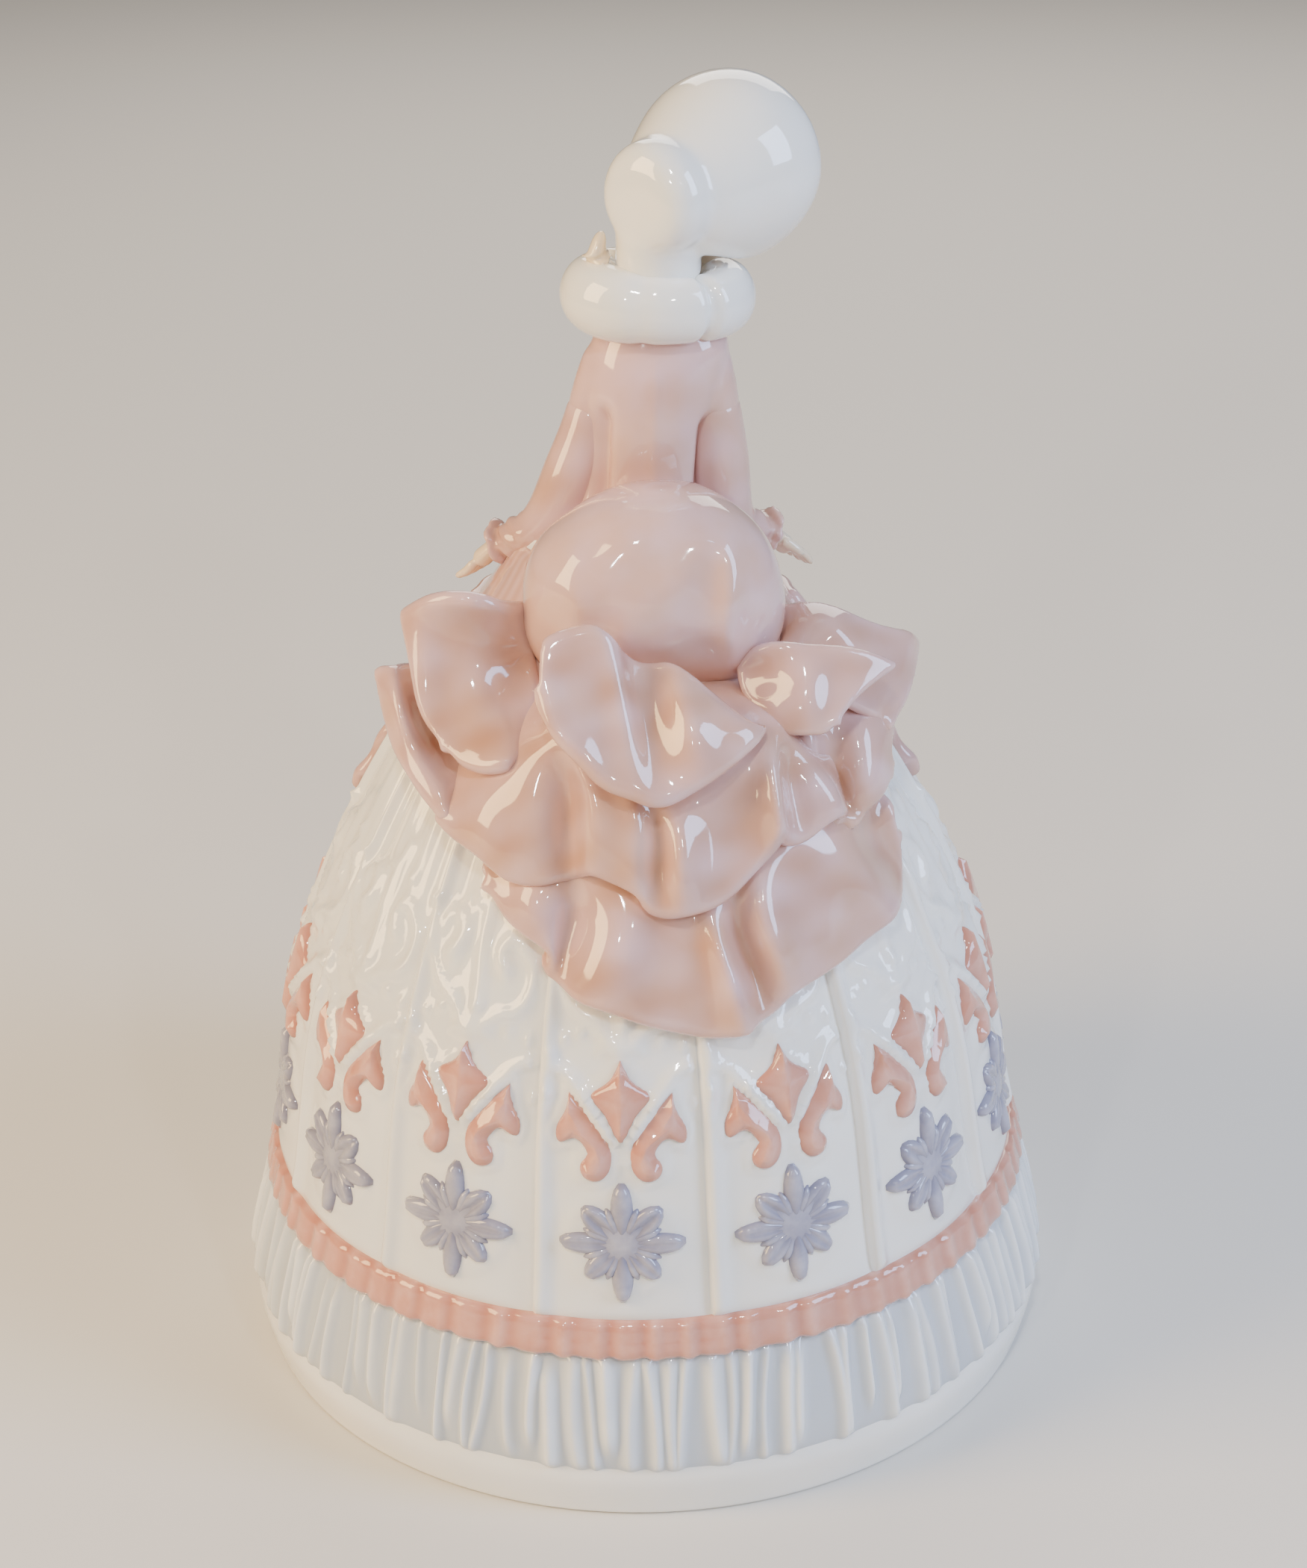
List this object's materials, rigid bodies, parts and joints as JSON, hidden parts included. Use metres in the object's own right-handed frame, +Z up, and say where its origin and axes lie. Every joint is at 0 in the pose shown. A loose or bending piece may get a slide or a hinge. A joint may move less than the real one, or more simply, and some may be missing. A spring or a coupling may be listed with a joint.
{
  "type": "lady figure table bell",
  "caption": "Porcelain table bell shaped as a lady in a bonnet and bustle dress, with a ball clapper swinging inside the hollow skirt.",
  "frame": {"origin": "centre of the skirt's resting rim, on the surface that the bell stands on", "axes": "+Z up along the skirt's axis; the lady faces +Y, so the bustle at her back is on the -Y side; +X is to her right"},
  "size_m": [0.1066, 0.1066, 0.1634],
  "materials": {
    "white_glaze": "clear gloss glaze over white porcelain",
    "lilac_glaze": "clear gloss glaze over a pale lilac-grey underglaze tint",
    "rose_enamel": "dusty rose enamel under gloss glaze",
    "blue_enamel": "grey-blue enamel under gloss glaze",
    "pink_glaze": "pinkish beige underglaze under gloss glaze",
    "cream_glaze": "warm cream underglaze under gloss glaze",
    "hair_glaze": "soft brown underglaze under gloss glaze",
    "clapper_glaze": "clear gloss glaze over white porcelain",
    "brass_wire": "drawn brass wire"
  },
  "bodies": {
    "bell": {"apron_front": "pink_glaze", "bodice": "pink_glaze", "bonnet_brim": "white_glaze", "bonnet_crown": "white_glaze", "bustle_pouf": "pink_glaze", "collar_roll": "white_glaze", "fleur_lozenges": "rose_enamel", "fleur_scrolls": "rose_enamel", "flounce_bottom": "pink_glaze", "flounce_centre": "pink_glaze", "flounce_left_outer": "pink_glaze", "flounce_left_upper": "pink_glaze", "flounce_middle": "pink_glaze", "flounce_right_inner": "pink_glaze", "flounce_right_lobe": "pink_glaze", "flounce_right_upper": "pink_glaze", "hair": "hair_glaze", "hand_left": "cream_glaze", "hand_right": "cream_glaze", "head": "cream_glaze", "hem_frill": "lilac_glaze", "hem_ribbon": "rose_enamel", "neck": "cream_glaze", "overskirt_cap": "pink_glaze", "ribbon_bow": "cream_glaze", "skirt_bell": "white_glaze", "sleeve_left": "pink_glaze", "sleeve_right": "pink_glaze", "star_flowers": "blue_enamel"},
    "pin": {"split_pin": "brass_wire"},
    "clapper": {"clapper_ball": "clapper_glaze", "clapper_wire": "brass_wire"}
  },
  "joints": [
    {"name": "pin_turn", "type": "hinge", "parent": "bell", "child": "pin", "pos_m": [0, 0, 0.107], "axis": [0, 0, 1], "continuous": true},
    {"name": "clapper_swing", "type": "hinge", "parent": "pin", "child": "clapper", "pos_m": [0, 0, 0.0992], "axis": [1, 0, 0], "range_deg": [-27.5, 27.5]}
  ]
}
